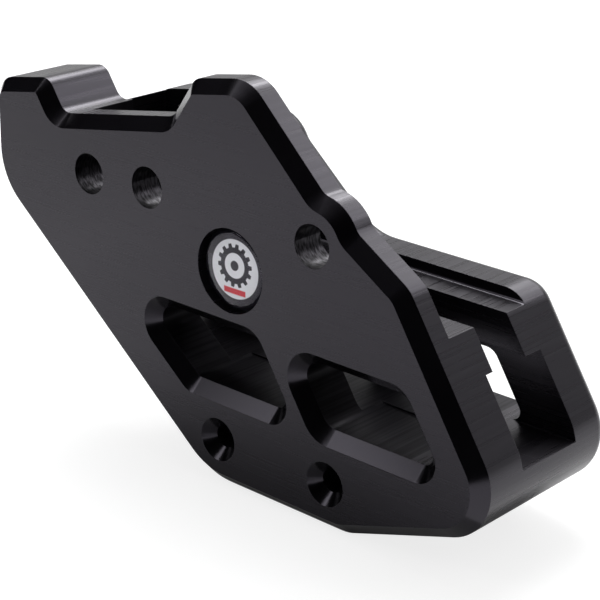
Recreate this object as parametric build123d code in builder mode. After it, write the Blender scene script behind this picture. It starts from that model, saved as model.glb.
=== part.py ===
from build123d import *
from math import atan, radians, sin, tan
import os

# Machined two-piece chain guide, in millimetres.
# The origin is on the front mounting bolt's axis, midway across the guide.
# X runs rearward along the chain, Y from the outer side to the inner side, Z up.

# Widths across the guide
outer_half_width = 22.0
inner_half_width = 26.0
outer_y = -(outer_half_width + inner_half_width) / 2
seam_y = outer_y + outer_half_width
inner_y = seam_y + inner_half_width

# Edges of the two outward faces and of the windows
bevel = 3.2
inner_edge_round = 3.5

# Upper edges that share one slope: tab, notch floor, hump and inner half
top_slope = tan(radians(10))
front_x = -36.5
tab_front_z = 17.0
tab_rear_x = -17.6
notch_front_x = -12.1
notch_front_z = 12.3
notch_rear_x = 26.3
hump_front_x = 33.4
hump_front_z = 29.5
hump_rear_x = 50.4

# Rear end, lower side and slanted front side, shared by both halves
corner_length = 165.7
heel_x = front_x + corner_length
heel_z = -53.1
shoulder_x = heel_x - 31.45
shoulder_z = -5.0
knee_x = heel_x - 54.1
knee_z = 9.0
base_z = -68.9
base_rear_x = heel_x - 46.6
base_front_x = 38.8
front_foot_z = -9.4

# Upper edge of the inner half
inner_front_x = -12.0
inner_front_z = 12.4
inner_peak_x = 17.2
saddle_x = 53.0
inner_top_z = -12.85
inner_foot_z = -20.0

# Rounding of the outline's corners
tab_front_round = 5.5
tab_round = 4.0
hump_front_round = 4.5
hump_rear_round = 10.0
shoulder_round = 8.0
heel_round = 13.5
base_rear_round = 10.0
base_front_round = 20.0
front_foot_round = 20.0
inner_peak_round = 8.0
saddle_round = 18.0
inner_shoulder_round = 8.0
inner_foot_round = 6.0
ear_blend = 4.0

# Mounting bolts and the ears round two of them
bolt_hole = 10.2
front_bolt = (0.0, 0.0)
middle_bolt = (20.3, 1.1)
rear_bolt = (72.5, -0.6)
outer_ear_radius = 11.4
inner_ear_radius = 11.5

# Countersunk screws that join the halves through the base
screw_hole = 5.6
screw_pilot = 4.3
screw_pilot_depth = 16.0
countersink = 11.0
countersink_angle = 90.0
screw_z = -56.9
front_screw_x = 44.0
screw_spacing = 34.0

# Slot for the frame's lug, and the two ledges under it
outer_wall = 8.5
inner_wall = 11.1
ledge_z = -15.6
inner_ledge_fillet = 1.0
outer_slot_front_x = -7.7
inner_slot_front_x = -11.2
outer_ledge = 8.9
inner_ledge = 7.3

# Channel that the chain runs through
channel_top_z = -24.4
channel_floor_z = -43.7
outer_channel_wall = 14.9
inner_channel_wall = 12.7

# Windows through both halves
window_sill_z = -44.15
front_window_top_z = -28.4
rear_window_top_z = -29.2
front_margin = 16.9
rear_margin = 13.0
inner_rear_margin = 12.5
window_post = 9.25
rear_window_length = 32.2
inner_window_rise = 1.2
window_corner = 3.9
window_toe = 2.2
rear_window_foot = 4.8

# Round badge: a printed disc under a clear dome, in a recess of the outer face
badge_center = (47.6, -12.9)
recess_radius = 10.3
recess_depth = 3.2
badge_clearance = 0.2
disc_thickness = 0.6
dome_inset = 0.15
dome_edge = 0.5
dome_rise = 1.0

# Lines that the outline and the windows follow
end_slope = (shoulder_z - heel_z) / (shoulder_x - heel_x)
side_slope = (base_z - front_foot_z) / (base_front_x - front_x)
overrun = 5.0
on_circle = 0.001


def along_top(x_from, z_from, x):
    """Height at x of an upper edge that starts at (x_from, z_from)"""
    return z_from + (x - x_from) * top_slope


def end_x(z, margin=0.0):
    """Place of the rear end line at a height, moved forward by a margin"""
    return shoulder_x + (z - shoulder_z) / end_slope - margin / sin(atan(-end_slope))


def side_x(z, margin=0.0):
    """Place of the slanted front side at a height, moved rearward by a margin"""
    return base_front_x + (z - base_z) / side_slope + margin / sin(atan(-side_slope))


# Corners of the outlines as x, z and rounding
lower_corners = [
    (heel_x, heel_z, heel_round),
    (base_rear_x, base_z, base_rear_round),
    (base_front_x, base_z, base_front_round),
]
outer_corners = [
    (front_x, tab_front_z, tab_front_round),
    (tab_rear_x, along_top(front_x, tab_front_z, tab_rear_x), tab_round),
    (notch_front_x, notch_front_z, tab_round),
    (notch_rear_x, along_top(notch_front_x, notch_front_z, notch_rear_x), tab_round),
    (hump_front_x, hump_front_z, hump_front_round),
    (hump_rear_x, along_top(hump_front_x, hump_front_z, hump_rear_x), hump_rear_round),
    (knee_x, knee_z, 0),
    (shoulder_x, shoulder_z, shoulder_round),
    *lower_corners,
    (front_x, front_foot_z, front_foot_round),
]
inner_corners = [
    (inner_front_x, inner_front_z, tab_round),
    (inner_peak_x, along_top(inner_front_x, inner_front_z, inner_peak_x), inner_peak_round),
    (saddle_x, inner_top_z, saddle_round),
    (end_x(inner_top_z), inner_top_z, inner_shoulder_round),
    *lower_corners,
    (side_x(inner_foot_z), inner_foot_z, inner_foot_round),
]

# Corners of the windows as x, z and rounding
window_mid_z = (window_sill_z + rear_window_top_z) / 2
rear_window_front = end_x(window_mid_z, rear_margin) - rear_window_length - end_x(window_mid_z)
front_window_rear = rear_window_front - window_post / sin(atan(-end_slope))


def front_window(top_z, sill_z):
    """Corners of the front window between two heights"""
    return [
        (side_x(top_z, front_margin), top_z, window_corner),
        (end_x(top_z) + front_window_rear, top_z, window_corner),
        (end_x(sill_z) + front_window_rear, sill_z, window_toe),
        (side_x(sill_z, front_margin), sill_z, window_toe),
    ]


def rear_window(top_z, sill_z, margin):
    """Corners of the rear window between two heights, with a margin to the rear end"""
    return [
        (end_x(top_z) + rear_window_front, top_z, window_corner),
        (end_x(top_z, margin), top_z, window_corner),
        (end_x(sill_z, margin), sill_z, window_toe),
        (end_x(sill_z) + rear_window_front, sill_z, rear_window_foot),
    ]


outer_windows = (
    front_window(front_window_top_z, window_sill_z),
    rear_window(rear_window_top_z, window_sill_z, rear_margin),
)
inner_windows = (
    front_window(front_window_top_z + inner_window_rise, channel_floor_z),
    rear_window(rear_window_top_z + inner_window_rise, channel_floor_z, inner_rear_margin),
)


def rounded_outline(plane, corners):
    """Closed outline on a plane, with its own rounding at each corner"""
    with BuildSketch(plane) as outline:
        with BuildLine():
            points = [(x, z) for x, z, rounding in corners]
            FilletPolyline(*points, radius=[rounding for x, z, rounding in corners], close=True)
        make_face()
    return outline.sketch


def side_profile(plane, corners, ear_center, ear_radius):
    """Outline of a half, with an ear round one bolt blended into its upper edge"""
    with BuildSketch(plane) as profile:
        add(rounded_outline(Plane.XY, corners))
        with Locations(ear_center):
            Circle(ear_radius)
        ear = Vector(*ear_center)
        kinks = profile.vertices().filter_by(lambda v: abs((Vector(v) - ear).length - ear_radius) < on_circle)
        fillet(kinks, ear_blend)
    return profile.sketch


def slot_section(x, wall_y, ledge_y, ledge_fillet=0.0):
    """Section of the lug slot and the gap beside one ledge, with a fillet where the ledge meets its wall"""
    with BuildSketch(Plane.YZ.offset(x)) as section:
        with BuildLine():
            Polyline(
                (wall_y, slot_top_z),
                (wall_y, ledge_z),
                (ledge_y, ledge_z),
                (ledge_y, channel_top_z),
                (seam_y, channel_top_z),
                (seam_y, slot_top_z),
                close=True,
            )
        make_face()
        if ledge_fillet > 0:
            corner = Vector(wall_y, ledge_z)
            fillet(section.vertices().sort_by(lambda v: (Vector(v) - corner).length)[0], ledge_fillet)
    return section.sketch


def channel_section(x, wall_y):
    """Section of one half's side of the chain channel"""
    with BuildSketch(Plane.YZ.offset(x)) as section:
        with BuildLine():
            Polyline(
                (wall_y, channel_top_z),
                (wall_y, channel_floor_z),
                (seam_y, channel_floor_z),
                (seam_y, channel_top_z),
                close=True,
            )
        make_face()
    return section.sketch


# Both halves share these planes, whose normals point outward, away from the chain
outer_face = Plane.XZ.offset(-outer_y)
seam_face = Plane.XZ.offset(-seam_y)
inner_face = Plane.XZ.offset(-inner_y)
slot_top_z = hump_front_z + overrun * 2
rear_reach = heel_x + overrun
rear_screw_x = front_screw_x + screw_spacing

# Outer half, the wide plate that carries the tab, the hump and the badge
outer_slot_wall_y = outer_y + outer_wall
outer_slot = slot_section(outer_slot_front_x, outer_slot_wall_y, outer_slot_wall_y + outer_ledge)
outer_channel = channel_section(front_x, outer_y + outer_channel_wall)
with BuildPart() as outer_half:
    extrude(side_profile(seam_face, outer_corners, rear_bolt, outer_ear_radius), amount=outer_half_width)
    for corners in outer_windows:
        extrude(rounded_outline(seam_face, corners), amount=outer_half_width, mode=Mode.SUBTRACT)
    chamfer(outer_half.faces().sort_by(Axis.Y)[0].edges(), bevel)
    extrude(outer_slot, amount=rear_reach - outer_slot_front_x, mode=Mode.SUBTRACT)
    extrude(outer_channel, amount=rear_reach - front_x, mode=Mode.SUBTRACT)

    with Locations(outer_face):
        with Locations(front_bolt, middle_bolt, rear_bolt):
            Hole(bolt_hole / 2)
        with Locations((front_screw_x, screw_z), (rear_screw_x, screw_z)):
            CounterSinkHole(screw_hole / 2, countersink / 2, counter_sink_angle=countersink_angle)
        with Locations(badge_center):
            Hole(recess_radius, recess_depth)
outer_half.part.label = "outer_half"

# Inner half, lower than the outer one behind its ear, with a rounded outer edge
inner_slot_wall_y = inner_y - inner_wall
inner_ledge_y = inner_slot_wall_y - inner_ledge
inner_slot = slot_section(inner_slot_front_x, inner_slot_wall_y, inner_ledge_y, inner_ledge_fillet)
inner_channel = channel_section(front_x, inner_y - inner_channel_wall)
with BuildPart() as inner_half:
    extrude(side_profile(inner_face, inner_corners, middle_bolt, inner_ear_radius), amount=inner_half_width)
    fillet(inner_half.faces().sort_by(Axis.Y)[-1].edges(), inner_edge_round)
    for corners in inner_windows:
        extrude(rounded_outline(inner_face, corners), amount=inner_half_width, mode=Mode.SUBTRACT)
    for wire in inner_half.faces().sort_by(Axis.Y)[-1].inner_wires():
        chamfer(wire.edges(), bevel)
    extrude(inner_slot, amount=rear_reach - inner_slot_front_x, mode=Mode.SUBTRACT)
    extrude(inner_channel, amount=rear_reach - front_x, mode=Mode.SUBTRACT)

    with Locations(seam_face):
        with Locations(front_bolt, middle_bolt):
            Hole(bolt_hole / 2)
        with Locations((front_screw_x, screw_z), (rear_screw_x, screw_z)):
            Hole(screw_pilot / 2, screw_pilot_depth)
inner_half.part.label = "inner_half"

# Printed disc on the floor of the recess
disc_radius = recess_radius - badge_clearance
recess_floor_y = outer_y + recess_depth
with BuildPart() as badge_disc:
    with BuildSketch(Plane.XZ.offset(-recess_floor_y)):
        with Locations(badge_center):
            Circle(disc_radius)
    extrude(amount=disc_thickness)
badge_disc.part.label = "badge_disc"

# Clear dome of resin over the disc
dome_radius = disc_radius - dome_inset
dome_back_y = recess_floor_y - disc_thickness
dome_axis_x, dome_axis_z = badge_center
with BuildPart() as badge_dome:
    with BuildSketch(Plane.XY.offset(dome_axis_z)):
        with BuildLine():
            rim = (dome_axis_x + dome_radius, dome_back_y - dome_edge)
            crown = (dome_axis_x, dome_back_y - dome_edge - dome_rise)
            Polyline(crown, (dome_axis_x, dome_back_y), (dome_axis_x + dome_radius, dome_back_y), rim)
            RadiusArc(rim, crown, (dome_radius**2 + dome_rise**2) / (2 * dome_rise))
        make_face()
    revolve(axis=Axis((dome_axis_x, 0, dome_axis_z), (0, 1, 0)))
badge_dome.part.label = "badge_dome"

os.makedirs("parts", exist_ok=True)
export_step(outer_half.part, "parts/outer_half.step")
export_step(inner_half.part, "parts/inner_half.step")
export_step(badge_disc.part, "parts/badge_disc.step")
export_step(badge_dome.part, "parts/badge_dome.step")
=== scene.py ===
import math

import bpy
import numpy as np
from mathutils import Matrix, Vector


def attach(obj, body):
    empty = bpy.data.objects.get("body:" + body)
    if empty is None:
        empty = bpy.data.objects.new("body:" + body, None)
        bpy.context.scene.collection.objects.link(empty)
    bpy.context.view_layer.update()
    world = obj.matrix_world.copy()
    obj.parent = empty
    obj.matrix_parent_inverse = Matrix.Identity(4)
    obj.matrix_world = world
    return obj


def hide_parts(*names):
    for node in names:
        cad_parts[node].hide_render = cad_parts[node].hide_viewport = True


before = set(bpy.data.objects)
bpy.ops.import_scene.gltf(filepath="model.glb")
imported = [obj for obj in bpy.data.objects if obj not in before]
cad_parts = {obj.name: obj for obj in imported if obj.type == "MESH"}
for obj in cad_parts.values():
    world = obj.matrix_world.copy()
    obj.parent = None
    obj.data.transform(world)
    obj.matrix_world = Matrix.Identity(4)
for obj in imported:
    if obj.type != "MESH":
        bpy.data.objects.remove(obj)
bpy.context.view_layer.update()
print("frame loaded:", ", ".join(sorted(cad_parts)))

perMm = 1000.0  # the frame and the studio are in metres, the settings of the pieces in mm


def hexColour(text):
    # sRGB hex to the linear colour that the shaders work in
    shares = [int(text[i : i + 2], 16) / 255 for i in (1, 3, 5)]
    linear = (s / 12.92 if s <= 0.04045 else ((s + 0.055) / 1.055) ** 2.4 for s in shares)
    return tuple(linear) + (1.0,)


def addNode(tree, kind, inputs=None, **settings):
    # one node: settings go on it, and an input takes a number, a colour or another node's output
    node = tree.nodes.new("ShaderNode" + kind)
    for name, value in settings.items():
        setattr(node, name, value)
    for name, value in (inputs or {}).items():
        if isinstance(value, bpy.types.NodeSocket):
            tree.links.new(value, node.inputs[name])
        else:
            node.inputs[name].default_value = value
    return node


def newMaterial(name):
    material = bpy.data.materials.new(name)
    material.use_nodes = True
    material.node_tree.nodes.clear()
    return material, material.node_tree


def meshPiece(name, points, faces, material):
    mesh = bpy.data.meshes.new(name)
    mesh.from_pydata(points.tolist(), [], faces)
    mesh.materials.append(material)
    mesh.polygons.foreach_set("use_smooth", np.ones(len(faces), dtype=bool))
    mesh.update()
    piece = bpy.data.objects.new(name, mesh)
    bpy.context.scene.collection.objects.link(piece)
    return piece


# Machined black acetal, milled from plate: near black with a satin skin that mirrors
# softly, fine cutter lines along the flats and across the edges, short reaming marks
# in the bores and duller walls in the windows and the channel. The mirror is set weaker
# in the bores, the windows and the channel, which is painted shade in these hollows
blackAcetal = {
    "baseHex": "#070608",
    "paleHex": "#0c0b0e",
    "wornHex": "#1c1b20",
    "ior": 1.48,  # acetal
    "mirrorTint": (0.90, 0.84, 1.0, 1.0),
    "mirrorShare": 0.5,
    # how much of the normal points across the guide where a flat begins and where it is full,
    # and the same for an edge
    "flatFacing": (0.85, 0.95),
    "edgeFacing": (0.4, 0.2),
    "flatRoughness": (0.22, 0.30),
    "edgeRoughness": (0.24, 0.36),
    "bevelRoughness": 0.19,  # the chamfer cutter leaves a finer skin
    "waveReach": 0.2,  # swing of the lines over which the roughness goes from low to high
    "patchMm": 22.0,
    "patchReach": (0.35, 0.65),  # noise values where the base colour ends and the pale one is full
    "flatLineMm": 0.9,  # real cutter lines are near 0.2 mm, drawn coarser so that they show
    "flatStretchMm": 60.0,
    "edgeLineMm": 0.7,  # steps of the cutter's side across the thickness, drawn coarser too
    "edgeStretchMm": 50.0,
    "grainMm": 0.35,
    "flatLineDepth": 0.002,
    "edgeLineDepth": 0.024,
    "grainDepth": 0.0015,
    "softEdgeMm": 0.13,
    "wornReach": (0.99, 0.88),  # cosine between the true normal and the softened one
    "bores": ((0.0, 0.0), (20.3, 1.1), (72.5, -0.6)),  # x and z in mm
    "boreRadius": 5.15,
    "farMm": 1000.0,  # farther than any bore
    "boreRingMm": 0.42,
    "boreArcMm": 1.6,
    "boreReach": (0.38, 0.66),  # noise values of the marks and of what is between them
    "boreMirror": (0.06, 0.44),  # share of the mirror in the marks and between them, kept low as painted shade in the bores
    "boreRoughness": 0.34,  # a reamer leaves a duller skin
    "windowCentre": (59.0, -35.0),  # x and z in mm of the part cut by the smaller cutter
    "windowHalf": (41.0, 11.0),
    "windowLineShare": 0.2,  # of the other edges' line depth
    "windowRoughness": 0.38,
    "windowReach": (0.38, 0.62),
    # share of the mirror in the marks and between them, kept low as painted shade in the windows
    # and the channel
    "windowMirror": (0.11, 0.2),
}


def milledAcetal(look):
    material, tree = newMaterial("milledBlackAcetal")
    place = addNode(tree, "TexCoord").outputs["Object"]
    surface = addNode(tree, "NewGeometry").outputs["Normal"]
    across = addNode(tree, "SeparateXYZ", {"Vector": surface}).outputs["Y"]
    across = addNode(tree, "Math", {0: across}, operation="ABSOLUTE").outputs[0]
    start, end = look["flatFacing"]
    onFlat = addNode(
        tree, "MapRange", {"Value": across, "From Min": start, "From Max": end}
    ).outputs[0]
    start, end = look["edgeFacing"]
    onEdge = addNode(
        tree, "MapRange", {"Value": across, "From Min": start, "From Max": end}
    ).outputs[0]

    # noise drawn out along X on the flats and along Y on the edges
    flatScale = (perMm / look["flatStretchMm"], perMm, perMm / look["flatLineMm"])
    flatPlace = addNode(tree, "Mapping", {"Vector": place, "Scale": flatScale}).outputs[0]
    flatLines = addNode(
        tree, "TexNoise", {"Vector": flatPlace, "Scale": 1.0, "Detail": 3.0}
    ).outputs[0]
    edgeStep = perMm / look["edgeLineMm"]
    edgeScale = (edgeStep, perMm / look["edgeStretchMm"], edgeStep)
    edgePlace = addNode(tree, "Mapping", {"Vector": place, "Scale": edgeScale}).outputs[0]
    edgeLines = addNode(
        tree, "TexNoise", {"Vector": edgePlace, "Scale": 1.0, "Detail": 4.0}
    ).outputs[0]

    # the reamed bores have short marks round their own axis instead
    sideOn = addNode(
        tree, "VectorMath", {0: place, 1: (perMm, 0.0, perMm)}, operation="MULTIPLY"
    ).outputs[0]
    nearest = look["farMm"]
    for x, z in look["bores"]:
        gap = addNode(tree, "VectorMath", {0: sideOn, 1: (x, 0.0, z)}, operation="DISTANCE")
        nearest = addNode(
            tree, "Math", {0: gap.outputs["Value"], 1: nearest}, operation="MINIMUM"
        ).outputs[0]
    inBore = addNode(
        tree, "Math", {0: nearest, 1: look["boreRadius"]}, operation="LESS_THAN"
    ).outputs[0]
    arcStep = perMm / look["boreArcMm"]
    ringScale = (arcStep, perMm / look["boreRingMm"], arcStep)
    ringPlace = addNode(tree, "Mapping", {"Vector": place, "Scale": ringScale}).outputs[0]
    rings = addNode(
        tree, "TexNoise", {"Vector": ringPlace, "Scale": 1.0, "Detail": 3.0}
    ).outputs[0]
    edgeLines = addNode(
        tree, "Mix", {0: inBore, 2: edgeLines, 3: rings}, data_type="FLOAT"
    ).outputs[0]

    # a smaller cutter leaves shallower marks in the windows and the channel
    centreX, centreZ = look["windowCentre"]
    halfX, halfZ = look["windowHalf"]
    fromWindows = addNode(
        tree, "VectorMath", {0: sideOn, 1: (centreX, 0.0, centreZ)}, operation="SUBTRACT"
    ).outputs[0]
    reach = addNode(tree, "VectorMath", {0: fromWindows}, operation="ABSOLUTE").outputs[0]
    reach = addNode(tree, "SeparateXYZ", {"Vector": reach}).outputs
    nearX = addNode(tree, "Math", {0: reach["X"], 1: halfX}, operation="LESS_THAN").outputs[0]
    nearZ = addNode(tree, "Math", {0: reach["Z"], 1: halfZ}, operation="LESS_THAN").outputs[0]
    inWindows = addNode(tree, "Math", {0: nearX, 1: nearZ}, operation="MULTIPLY").outputs[0]
    inWindows = addNode(tree, "Math", {0: inWindows, 1: onEdge}, operation="MULTIPLY").outputs[0]
    lineShare = addNode(
        tree, "MapRange", {"Value": inWindows, "To Min": 1.0, "To Max": look["windowLineShare"]}
    ).outputs[0]

    grain = addNode(
        tree, "TexNoise", {"Vector": place, "Scale": perMm / look["grainMm"], "Detail": 2.0}
    ).outputs[0]
    patches = addNode(
        tree, "TexNoise", {"Vector": place, "Scale": perMm / look["patchMm"], "Detail": 3.0}
    ).outputs[0]

    # the bevels between flats and edges keep only the grain
    flatWave = addNode(tree, "Math", {0: flatLines, 1: 0.5}, operation="SUBTRACT").outputs[0]
    flatWave = addNode(tree, "Math", {0: flatWave, 1: onFlat}, operation="MULTIPLY").outputs[0]
    edgeWave = addNode(tree, "Math", {0: edgeLines, 1: 0.5}, operation="SUBTRACT").outputs[0]
    edgeWave = addNode(tree, "Math", {0: edgeWave, 1: onEdge}, operation="MULTIPLY").outputs[0]
    edgeWave = addNode(tree, "Math", {0: edgeWave, 1: lineShare}, operation="MULTIPLY").outputs[0]
    flatShare = look["flatLineDepth"] / look["edgeLineDepth"]
    relief = addNode(
        tree, "Math", {0: flatWave, 1: flatShare, 2: edgeWave}, operation="MULTIPLY_ADD"
    ).outputs[0]

    softened = addNode(
        tree, "Bevel", {"Radius": look["softEdgeMm"] / perMm}, samples=6
    ).outputs[0]
    bumped = softened
    for height, depth in ((relief, look["edgeLineDepth"]), (grain, look["grainDepth"])):
        bumped = addNode(
            tree,
            "Bump",
            {"Height": height, "Distance": depth / perMm, "Strength": 1.0, "Normal": bumped},
        ).outputs[0]

    # worn edges are where the softened normal leaves the true one
    agreement = addNode(
        tree, "VectorMath", {0: softened, 1: surface}, operation="DOT_PRODUCT"
    ).outputs["Value"]
    start, end = look["wornReach"]
    worn = addNode(
        tree,
        "MapRange",
        {"Value": agreement, "From Min": start, "From Max": end},
        interpolation_type="SMOOTHSTEP",
    ).outputs[0]
    start, end = look["patchReach"]
    patchShare = addNode(
        tree, "MapRange", {"Value": patches, "From Min": start, "From Max": end}
    ).outputs[0]
    base, pale, wornColour = (hexColour(look[key]) for key in ("baseHex", "paleHex", "wornHex"))
    body = addNode(tree, "Mix", {0: patchShare, 6: base, 7: pale}, data_type="RGBA").outputs[2]
    colour = addNode(tree, "Mix", {0: worn, 6: body, 7: wornColour}, data_type="RGBA").outputs[2]

    # each kind of surface has its own roughness
    onSkins = []
    for wave, key in ((flatWave, "flatRoughness"), (edgeWave, "edgeRoughness")):
        low, high = look[key]
        span = {"From Min": -look["waveReach"], "From Max": look["waveReach"]}
        onSkins.append(
            addNode(tree, "MapRange", {"Value": wave, **span, "To Min": low, "To Max": high})
        )
    roughness = look["bevelRoughness"]
    for share, skin in (
        (onFlat, onSkins[0].outputs[0]),
        (onEdge, onSkins[1].outputs[0]),
        (inBore, look["boreRoughness"]),
        (inWindows, look["windowRoughness"]),
    ):
        roughness = addNode(
            tree, "Mix", {0: share, 2: roughness, 3: skin}, data_type="FLOAT"
        ).outputs[0]

    # the mirror follows the marks in bores and windows, and its low level there is painted shade
    # in these hollows
    mirrorAndPaintedShade = look["mirrorShare"]
    for share, marks, kind in ((inBore, rings, "bore"), (inWindows, edgeLines, "window")):
        start, end = look[kind + "Reach"]
        low, high = look[kind + "Mirror"]
        markedMirrorAndShade = addNode(
            tree,
            "MapRange",
            {"Value": marks, "From Min": start, "From Max": end, "To Min": low, "To Max": high},
        ).outputs[0]
        mirrorAndPaintedShade = addNode(
            tree, "Mix", {0: share, 2: mirrorAndPaintedShade, 3: markedMirrorAndShade}, data_type="FLOAT"
        ).outputs[0]

    shader = addNode(
        tree,
        "BsdfPrincipled",
        {
            "Base Color": colour,
            "Roughness": roughness,
            "IOR": look["ior"],
            "Specular IOR Level": mirrorAndPaintedShade,
            "Specular Tint": look["mirrorTint"],
            "Normal": bumped,
        },
    )
    addNode(tree, "OutputMaterial", {"Surface": shader.outputs[0]})
    return material


# Badge under the dome: a printed vinyl disc, matt ink with soft print edges.
# A cogwheel over a red bar on a pale disc, inside a dark ring
printedBadge = {
    "centre": (47.6, -12.9),  # x and z in mm
    "paleHex": "#f1f2f6",
    "inkHex": "#17161b",
    "redHex": "#d8323b",
    "discRadius": 7.1,
    "cogRadius": 4.3,
    "toothHeight": 0.9,
    "toothFlank": 0.35,
    "teeth": 14,
    "cogBore": 3.0,
    "hubRadius": 1.2,
    "cogRise": 0.9,
    "barHalf": (3.3, 0.7),
    "barZ": -5.3,
    "inkEdgeMm": 0.12,
    "grainMm": 0.25,
    "grainDepth": 0.004,
    "roughness": 0.55,
    "mirrorShare": 0.0,  # the resin is bonded on, so no air mirrors at the ink
}


def printedVinyl(look):
    material, tree = newMaterial("printedVinylDisc")
    place = addNode(tree, "TexCoord").outputs["Object"]
    centreX, centreZ = look["centre"]
    inMm = addNode(
        tree,
        "Mapping",
        {"Vector": place, "Location": (-centreX, 0.0, -centreZ), "Scale": (perMm, 0.0, perMm)},
    ).outputs[0]
    edge = look["inkEdgeMm"]

    # cogwheel: its radius steps with the sine of the angle times the number of teeth
    fromHub = addNode(
        tree, "VectorMath", {0: inMm, 1: (0.0, 0.0, look["cogRise"])}, operation="SUBTRACT"
    ).outputs[0]
    parts = addNode(tree, "SeparateXYZ", {"Vector": fromHub}).outputs
    angle = addNode(tree, "Math", {0: parts["Z"], 1: parts["X"]}, operation="ARCTAN2").outputs[0]
    teeth = float(look["teeth"])
    turned = addNode(tree, "Math", {0: angle, 1: teeth}, operation="MULTIPLY").outputs[0]
    wave = addNode(tree, "Math", {0: turned}, operation="SINE").outputs[0]
    cogRim = addNode(
        tree,
        "MapRange",
        {
            "Value": wave,
            "From Min": -look["toothFlank"],
            "From Max": look["toothFlank"],
            "To Min": look["cogRadius"],
            "To Max": look["cogRadius"] + look["toothHeight"],
        },
    ).outputs[0]
    radius = addNode(tree, "VectorMath", {0: inMm}, operation="LENGTH").outputs["Value"]
    hubDistance = addNode(tree, "VectorMath", {0: fromHub}, operation="LENGTH").outputs["Value"]
    rimGap = addNode(tree, "Math", {0: cogRim, 1: hubDistance}, operation="SUBTRACT").outputs[0]

    # each printed form is a value that passes its limit over the soft width of the ink
    inDisc, inCog, outOfBore, hub = (
        addNode(
            tree,
            "MapRange",
            {"Value": value, "From Min": outside, "From Max": inside},
            interpolation_type="SMOOTHSTEP",
        ).outputs[0]
        for value, outside, inside in (
            (radius, look["discRadius"] + edge, look["discRadius"] - edge),
            (rimGap, -edge, edge),
            (hubDistance, look["cogBore"] - edge, look["cogBore"] + edge),
            (hubDistance, look["hubRadius"] + edge, look["hubRadius"] - edge),
        )
    )
    cog = addNode(tree, "Math", {0: inCog, 1: outOfBore}, operation="MULTIPLY").outputs[0]
    motif = addNode(tree, "Math", {0: cog, 1: hub}, operation="MAXIMUM").outputs[0]

    # red bar under the cogwheel
    fromBar = addNode(
        tree, "VectorMath", {0: inMm, 1: (0.0, 0.0, look["barZ"])}, operation="SUBTRACT"
    ).outputs[0]
    barReach = addNode(tree, "VectorMath", {0: fromBar}, operation="ABSOLUTE").outputs[0]
    barParts = addNode(tree, "SeparateXYZ", {"Vector": barReach}).outputs
    barX, barZ = (
        addNode(
            tree,
            "MapRange",
            {"Value": barParts[axis], "From Min": half + edge, "From Max": half - edge},
        ).outputs[0]
        for axis, half in zip(("X", "Z"), look["barHalf"])
    )
    bar = addNode(tree, "Math", {0: barX, 1: barZ}, operation="MULTIPLY").outputs[0]

    pale, ink, red = (hexColour(look[key]) for key in ("paleHex", "inkHex", "redHex"))
    withCog = addNode(tree, "Mix", {0: motif, 6: pale, 7: ink}, data_type="RGBA").outputs[2]
    withBar = addNode(tree, "Mix", {0: bar, 6: withCog, 7: red}, data_type="RGBA").outputs[2]
    colour = addNode(tree, "Mix", {0: inDisc, 6: ink, 7: withBar}, data_type="RGBA").outputs[2]
    grain = addNode(
        tree, "TexNoise", {"Vector": place, "Scale": perMm / look["grainMm"], "Detail": 2.0}
    ).outputs[0]
    bump = addNode(
        tree, "Bump", {"Height": grain, "Distance": look["grainDepth"] / perMm, "Strength": 1.0}
    ).outputs[0]
    shader = addNode(
        tree,
        "BsdfPrincipled",
        {
            "Base Color": colour,
            "Roughness": look["roughness"],
            "Specular IOR Level": look["mirrorShare"],
            "Normal": bump,
        },
    )
    addNode(tree, "OutputMaterial", {"Surface": shader.outputs[0]})
    return material


# Poured polyurethane resin over the badge: clear and glossy, domed by its own
# surface tension, so the rim bends the view of the ring beneath it
resinDome = {
    "centre": (47.6, -12.9),
    "backY": -21.3,  # bonded: 0.1 mm into the disc, whose face is at -21.4
    "radius": 9.3,
    "edge": 1.5,  # height at the rim, and how much higher the middle is
    "rise": 0.8,
    "rimRadius": 0.8,
    "turns": 96,
    "rings": 24,
    "rimRings": 8,
    "colour": (0.98, 0.98, 1.0, 1.0),
    "mirrorTint": (0.9, 0.84, 1.0, 1.0),
    "roughness": 0.03,
    "ior": 1.49,
    "rippleMm": 6.0,
    "rippleDepth": 0.006,
}


def clearResin(look):
    material, tree = newMaterial("pouredClearResin")
    place = addNode(tree, "TexCoord").outputs["Object"]
    ripple = addNode(
        tree, "TexNoise", {"Vector": place, "Scale": perMm / look["rippleMm"], "Detail": 1.0}
    ).outputs[0]
    bump = addNode(
        tree, "Bump", {"Height": ripple, "Distance": look["rippleDepth"] / perMm, "Strength": 1.0}
    ).outputs[0]
    resin = addNode(
        tree,
        "BsdfPrincipled",
        {
            "Base Color": look["colour"],
            "Roughness": look["roughness"],
            "IOR": look["ior"],
            "Specular Tint": look["mirrorTint"],
            "Transmission Weight": 1.0,
            "Normal": bump,
        },
    )
    # lamps reach the disc through the dome
    letThrough = addNode(tree, "BsdfTransparent")
    lampRay = addNode(tree, "LightPath").outputs["Is Shadow Ray"]
    mixed = addNode(
        tree, "MixShader", {0: lampRay, 1: resin.outputs[0], 2: letThrough.outputs[0]}
    )
    addNode(tree, "OutputMaterial", {"Surface": mixed.outputs[0]})
    return material


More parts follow.
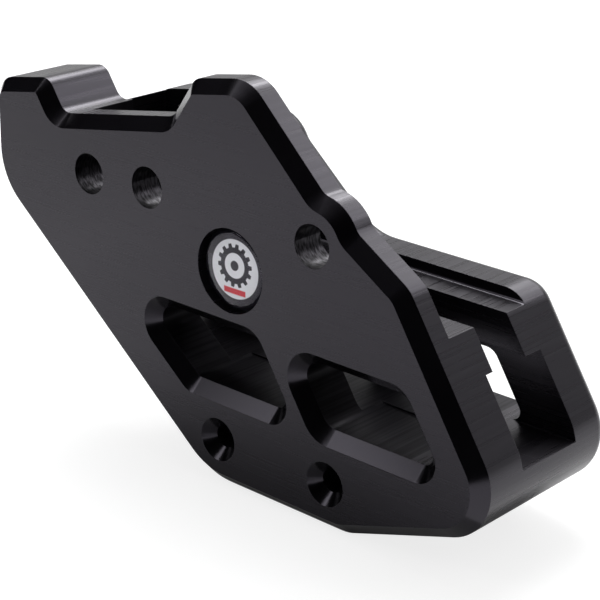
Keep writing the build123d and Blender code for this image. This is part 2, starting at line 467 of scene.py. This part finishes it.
def domeSurface(look, material):
    # a profile turned about the badge's axis: out over a low spherical cap, round the
    # rim on a small arc, down the edge and back to the middle of the flat back
    cap = np.linspace(0.0, 1.0, look["rings"])
    capRadius = (look["radius"] - look["rimRadius"]) * cap
    capHeight = look["edge"] + look["rise"] * (1 - cap**2)
    bend = np.linspace(0.0, math.pi / 2, look["rimRings"])[1:]
    rimOut = look["radius"] - look["rimRadius"] * (1 - np.sin(bend))
    rimUp = look["edge"] - look["rimRadius"] * (1 - np.cos(bend))
    radii = np.concatenate([capRadius[1:], rimOut, [look["radius"]]])
    heights = np.concatenate([capHeight[1:], rimUp, [0.0]])
    rows, turns = len(radii), look["turns"]
    angles = np.linspace(0.0, 2 * math.pi, turns, endpoint=False)
    centreX, centreZ = look["centre"]
    x = centreX + np.outer(radii, np.cos(angles))
    z = centreZ + np.outer(radii, np.sin(angles))
    y = look["backY"] - np.repeat(heights[:, None], turns, axis=1)
    points = np.stack([x, y, z], axis=-1).reshape(-1, 3)
    crown = [centreX, look["backY"] - capHeight[0], centreZ]
    back = [centreX, look["backY"], centreZ]
    points = np.vstack([points, [crown], [back]]) / perMm

    first = np.arange(rows - 1)[:, None] * turns
    turn = np.arange(turns)[None, :]
    following = (turn + 1) % turns
    corners = [first + turn, first + turns + turn, first + turns + following, first + following]
    quads = np.stack(corners, axis=-1).reshape(-1, 4)
    ring = np.arange(turns)
    nextRing = (ring + 1) % turns
    crownFan = np.stack([np.full(turns, rows * turns), ring, nextRing], axis=-1)
    lastRow = (rows - 1) * turns
    backFan = np.stack(
        [np.full(turns, rows * turns + 1), lastRow + nextRing, lastRow + ring], axis=-1
    )
    faces = quads.tolist() + crownFan.tolist() + backFan.tolist()
    dome = meshPiece("badge_dome_surface", points, faces, material)
    for face in dome.data.polygons[-turns:]:
        face.use_smooth = False
    return dome


acetal = milledAcetal(blackAcetal)
vinyl = printedVinyl(printedBadge)
for nodeName, material in (("outer_half", acetal), ("inner_half", acetal), ("badge_disc", vinyl)):
    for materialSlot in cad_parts[nodeName].material_slots:
        materialSlot.material = material
print("halves and badge disc finished")

dome = domeSurface(resinDome, clearResin(resinDome))
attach(dome, "root")
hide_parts("badge_dome")
print("resin dome made")

# Studio: a white table, a strong soft lamp high behind, a long low one behind on the
# right and a small one in front on the left. Black cards round the camera, grey cards
# behind and grey mats on the table are seen only by mirrors. The mats are painted shade
# of the table in front of and left of the guide, and the guide's real shadow also falls on them
studio = {
    "floorZ": -0.0689,
    "floorHalf": 4.0,
    "floorHex": "#969696",
    "floorGlow": (0.8, 1.0),  # near the guide, and where the lamps no longer reach
    "floorReach": (0.6, 2.0),
    "worldLevel": 0.3,
    "aim": (0.046, 0.0, -0.025),
    "lampPower": 4,  # watts for a square metre at brightness 1
    "lamps": {
        # way round from the rear, way up in degrees, distance in m, width, height, brightness
        "topLamp": (135, 60, 1.2, 0.9, 0.9, 6.2),
        "backLamp": (80, 38, 1.3, 1.5, 0.34, 2.5),
        "leftLamp": (228, 38, 1.0, 0.35, 0.26, 2.3),
    },
    "cards": {
        # way round, way up, distance in m, width, height, grey
        "frontCard": (260, 28, 1.2, 1.5, 1.5, 0.0),
        "rightFrontCard": (322, 28, 1.2, 1.5, 1.5, 0.0),
        "rightCard": (8, 18, 1.25, 1.2, 1.0, 0.0),
        "leftCard": (188, 22, 1.25, 1.6, 1.1, 0.0),
        "backRightCard": (54, 15, 1.4, 1.3, 0.75, 0.48),
        "backLeftCard": (128, 15, 1.4, 1.2, 0.82, 0.55),
    },
    "shadeMatLift": 0.0005,
    "shadeMats": {
        # lowest and highest x, lowest and highest y in m, grey of the painted shade
        "frontShadeMat": (-0.09, 0.125, -0.19, 0.03, 0.77),
        "leftShadeMat": (-0.6, -0.135, -0.4, 0.3, 0.74),
    },
}


def facing(around, upward, distance, aim):
    # a matrix whose -Z looks back at the guide from that way
    a, u = math.radians(around), math.radians(upward)
    outward = Vector((math.cos(a) * math.cos(u), math.sin(a) * math.cos(u), math.sin(u)))
    turn = outward.to_track_quat("Z", "Y").to_matrix().to_4x4()
    return Matrix.Translation(Vector(aim) + outward * distance) @ turn


def flatSheet(name, x0, x1, y0, y1, z, material):
    corners = np.array([[x0, y0, z], [x1, y0, z], [x1, y1, z], [x0, y1, z]])
    return meshPiece(name, corners, [[0, 1, 2, 3]], material)


def glowingPaper(name, colour, glow):
    material, tree = newMaterial(name)
    strength = glow(tree) if callable(glow) else glow
    sheet = addNode(tree, "BsdfDiffuse", {"Color": colour})
    light = addNode(tree, "Emission", {"Strength": strength})
    both = addNode(tree, "AddShader", {0: sheet.outputs[0], 1: light.outputs[0]})
    addNode(tree, "OutputMaterial", {"Surface": both.outputs[0]})
    return material


def lookedAt(tree):
    # 1 where the camera, a mirror or the resin looks, 0 for light on its way to a dull surface
    path = addNode(tree, "LightPath").outputs
    seen = path["Is Camera Ray"]
    for ray in ("Is Glossy Ray", "Is Transmission Ray"):
        seen = addNode(tree, "Math", {0: seen, 1: path[ray]}, operation="MAXIMUM").outputs[0]
    return seen


def buildStudio(look):
    def tableGlow(tree):
        place = addNode(tree, "TexCoord").outputs["Object"]
        away = addNode(tree, "VectorMath", {0: place}, operation="LENGTH").outputs["Value"]
        near, far = look["floorReach"]
        low, high = look["floorGlow"]
        level = addNode(
            tree,
            "MapRange",
            {"Value": away, "From Min": near, "From Max": far, "To Min": low, "To Max": high},
        ).outputs[0]
        return addNode(
            tree, "Math", {0: lookedAt(tree), 1: level}, operation="MULTIPLY"
        ).outputs[0]

    half, floorZ = look["floorHalf"], look["floorZ"]
    paper = glowingPaper("whiteTable", hexColour(look["floorHex"]), tableGlow)
    flatSheet("table", -half, half, -half, half, floorZ, paper)

    world = bpy.data.worlds.new("studioAir")
    bpy.context.scene.world = world
    world.use_nodes = True
    tree = world.node_tree
    tree.nodes.clear()
    level = addNode(
        tree, "MapRange", {"Value": lookedAt(tree), "To Min": look["worldLevel"], "To Max": 1.0}
    ).outputs[0]
    air = addNode(tree, "Background", {"Color": (1.0, 1.0, 1.0, 1.0), "Strength": level})
    addNode(tree, "OutputWorld", {"Surface": air.outputs[0]})

    for name, (around, upward, distance, width, height, brightness) in look["lamps"].items():
        data = bpy.data.lights.new(name, "AREA")
        data.shape = "RECTANGLE"
        data.size, data.size_y = width, height
        data.energy = look["lampPower"] * width * height * brightness
        lamp = bpy.data.objects.new(name, data)
        lamp.matrix_world = facing(around, upward, distance, look["aim"])
        lamp.visible_camera = False
        bpy.context.scene.collection.objects.link(lamp)

    cards = []
    for name, (around, upward, distance, width, height, glow) in look["cards"].items():
        w, h = width / 2, height / 2
        paper = glowingPaper("standingCard", (0.0, 0.0, 0.0, 1.0), glow)
        cards.append(flatSheet(name, -w, w, -h, h, 0.0, paper))
        cards[-1].matrix_world = facing(around, upward, distance, look["aim"])
    # painted shade: grey sheets that mirrors see instead of the glowing table, lit by the lamps so
    # that the guide's shadow falls on them
    for name, (x0, x1, y0, y1, grey) in look["shadeMats"].items():
        paper = glowingPaper("greyShadeMat", (grey, grey, grey, 1.0), 0.0)
        cards.append(flatSheet(name, x0, x1, y0, y1, floorZ + look["shadeMatLift"], paper))
    for card in cards:
        card.visible_camera = False
        card.visible_diffuse = False
        card.visible_transmission = False
        card.visible_shadow = False


buildStudio(studio)
print("studio lit")

# Camera at the photograph's place, worked out from the guide's own edges
photographer = {
    "place": (0.3202, -0.308, 0.1331),
    "turn": 41.45,
    "down": 21.22,
    "roll": 1.17,
    "lens": 109.4,
    "sensor": 36.0,
    "clip": (0.01, 20.0),
}


def placeCamera(look):
    turn, down, roll = (math.radians(look[key]) for key in ("turn", "down", "roll"))
    ahead = Vector(
        (-math.sin(turn) * math.cos(down), math.cos(turn) * math.cos(down), -math.sin(down))
    )
    level = Vector((math.cos(turn), math.sin(turn), 0.0))
    upright = level.cross(ahead)
    right = math.cos(roll) * level + math.sin(roll) * upright
    up = -math.sin(roll) * level + math.cos(roll) * upright
    data = bpy.data.cameras.new("photoCamera")
    data.lens = look["lens"]
    data.sensor_width = look["sensor"]
    data.clip_start, data.clip_end = look["clip"]
    camera = bpy.data.objects.new("photoCamera", data)
    bpy.context.scene.collection.objects.link(camera)
    pose = Matrix((right, up, -ahead)).transposed().to_4x4()
    camera.matrix_world = Matrix.Translation(Vector(look["place"])) @ pose
    bpy.context.scene.camera = camera


placeCamera(photographer)
bpy.context.scene.view_settings.view_transform = "Standard"
print("camera placed")
